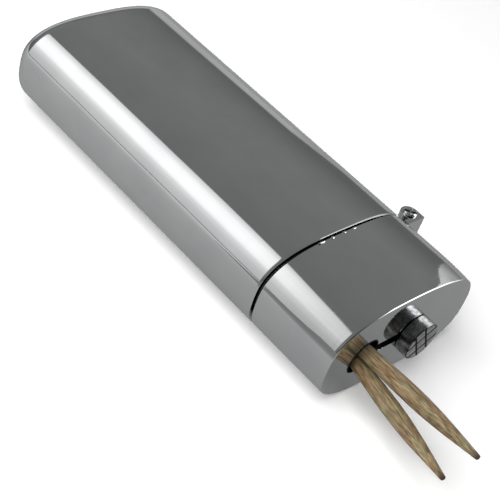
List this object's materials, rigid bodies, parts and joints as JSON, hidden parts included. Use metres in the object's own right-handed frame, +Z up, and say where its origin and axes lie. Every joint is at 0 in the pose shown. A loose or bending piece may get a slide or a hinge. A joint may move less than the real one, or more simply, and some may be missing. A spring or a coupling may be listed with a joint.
{
  "type": "toothpick dispenser",
  "caption": "Pocket toothpick case of polished metal: flat oval body, short hinged head, and a slide knob in the end face that closes the round outlet.",
  "frame": {"origin": "middle of the underside, halfway along the closed case", "axes": "+X across the width towards the hinge, +Y along the length away from the outlet, +Z up through the thickness"},
  "size_m": [0.0333, 0.0941, 0.0152],
  "materials": {
    "mirror_steel": "mirror polish, nickel or chrome plated",
    "collar_steel": "drawn, bright",
    "knob_steel": "polished, scored across the front",
    "spring_steel": "plain rolled",
    "birch_wood": "plain turned birch"
  },
  "bodies": {
    "case": {"case_shell": "mirror_steel", "neck_collar": "collar_steel", "hinge_pin": "knob_steel", "toothpick_stored_1": "birch_wood", "toothpick_stored_2": "birch_wood", "toothpick_stored_3": "birch_wood", "toothpick_stored_4": "birch_wood", "toothpick_stored_5": "birch_wood", "toothpick_stored_6": "birch_wood", "toothpick_stored_7": "birch_wood", "toothpick_stored_8": "birch_wood", "toothpick_stored_9": "birch_wood"},
    "head": {"head_shell": "mirror_steel"},
    "knob": {"slide_knob": "knob_steel", "retaining_plate": "spring_steel", "bowed_spring": "spring_steel", "stem_washer": "spring_steel"},
    "pick_right": {"toothpick_right": "birch_wood"},
    "pick_left": {"toothpick_left": "birch_wood"}
  },
  "joints": [
    {"name": "head_hinge", "type": "hinge", "parent": "case", "child": "head", "pos_m": [0.0168, -0.02155, 0.0076], "axis": [0, 0, 1], "range_deg": [0, 100]},
    {"name": "knob_slide", "type": "slide", "parent": "head", "child": "knob", "axis": [-1, 0, 0], "range_m": [0, 0.0045]},
    {"name": "pick_right_slide", "type": "slide", "parent": "head", "child": "pick_right", "axis": [-0.045, -0.9985, 0.0319], "range_m": [0, 0.042]},
    {"name": "pick_left_slide", "type": "slide", "parent": "head", "child": "pick_left", "axis": [-0.2248, -0.9739, 0.0321], "range_m": [0, 0.042]}
  ],
  "couplings": [
    {"joint": "pick_right_slide", "follows": "head_hinge", "m_per_rad": 0.024},
    {"joint": "pick_left_slide", "follows": "head_hinge", "m_per_rad": 0.024}
  ]
}
